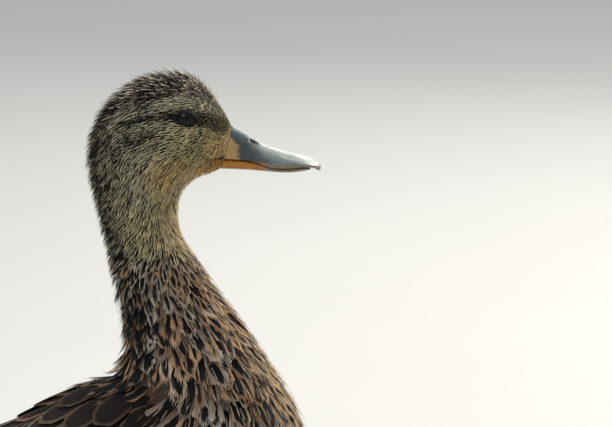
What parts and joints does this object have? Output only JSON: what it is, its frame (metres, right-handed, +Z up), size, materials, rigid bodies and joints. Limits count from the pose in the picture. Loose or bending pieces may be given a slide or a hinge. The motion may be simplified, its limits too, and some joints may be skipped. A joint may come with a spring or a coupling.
{
  "type": "mallard hen, standing",
  "caption": "Life-size still model of a standing mallard hen with her neck raised, head level and wings folded, on two webbed feet.",
  "frame": {"origin": "middle of the bounding box, on the floor between the feet", "axes": "+X the way the bird faces, +Y her left side, +Z up"},
  "size_m": [0.3798, 0.1188, 0.3625],
  "materials": {
    "plumage": "soft contour feathers, dark brown with buff edges",
    "flight_feathers": "smooth stiff vanes, brown with pale edges and a blue wing patch",
    "bill": "satin slate grey horn, orange at its base and edges",
    "eye": "wet, dark brown",
    "leg_skin": "scaled orange skin",
    "claw": "dark horn"
  },
  "bodies": {
    "root": {"head": "plumage", "neck": "plumage", "trunk": "plumage", "shank_left": "plumage", "shank_right": "plumage", "wing_left": "flight_feathers", "wing_right": "flight_feathers", "tail": "flight_feathers", "bill_upper": "bill", "bill_lower": "bill", "eye_left": "eye", "tarsus_left": "leg_skin", "foot_left": "leg_skin", "claw_inner_left": "claw", "claw_middle_left": "claw", "claw_outer_left": "claw", "claw_hind_left": "claw", "eye_right": "eye", "tarsus_right": "leg_skin", "foot_right": "leg_skin", "claw_inner_right": "claw", "claw_middle_right": "claw", "claw_outer_right": "claw", "claw_hind_right": "claw"}
  },
  "joints": []
}
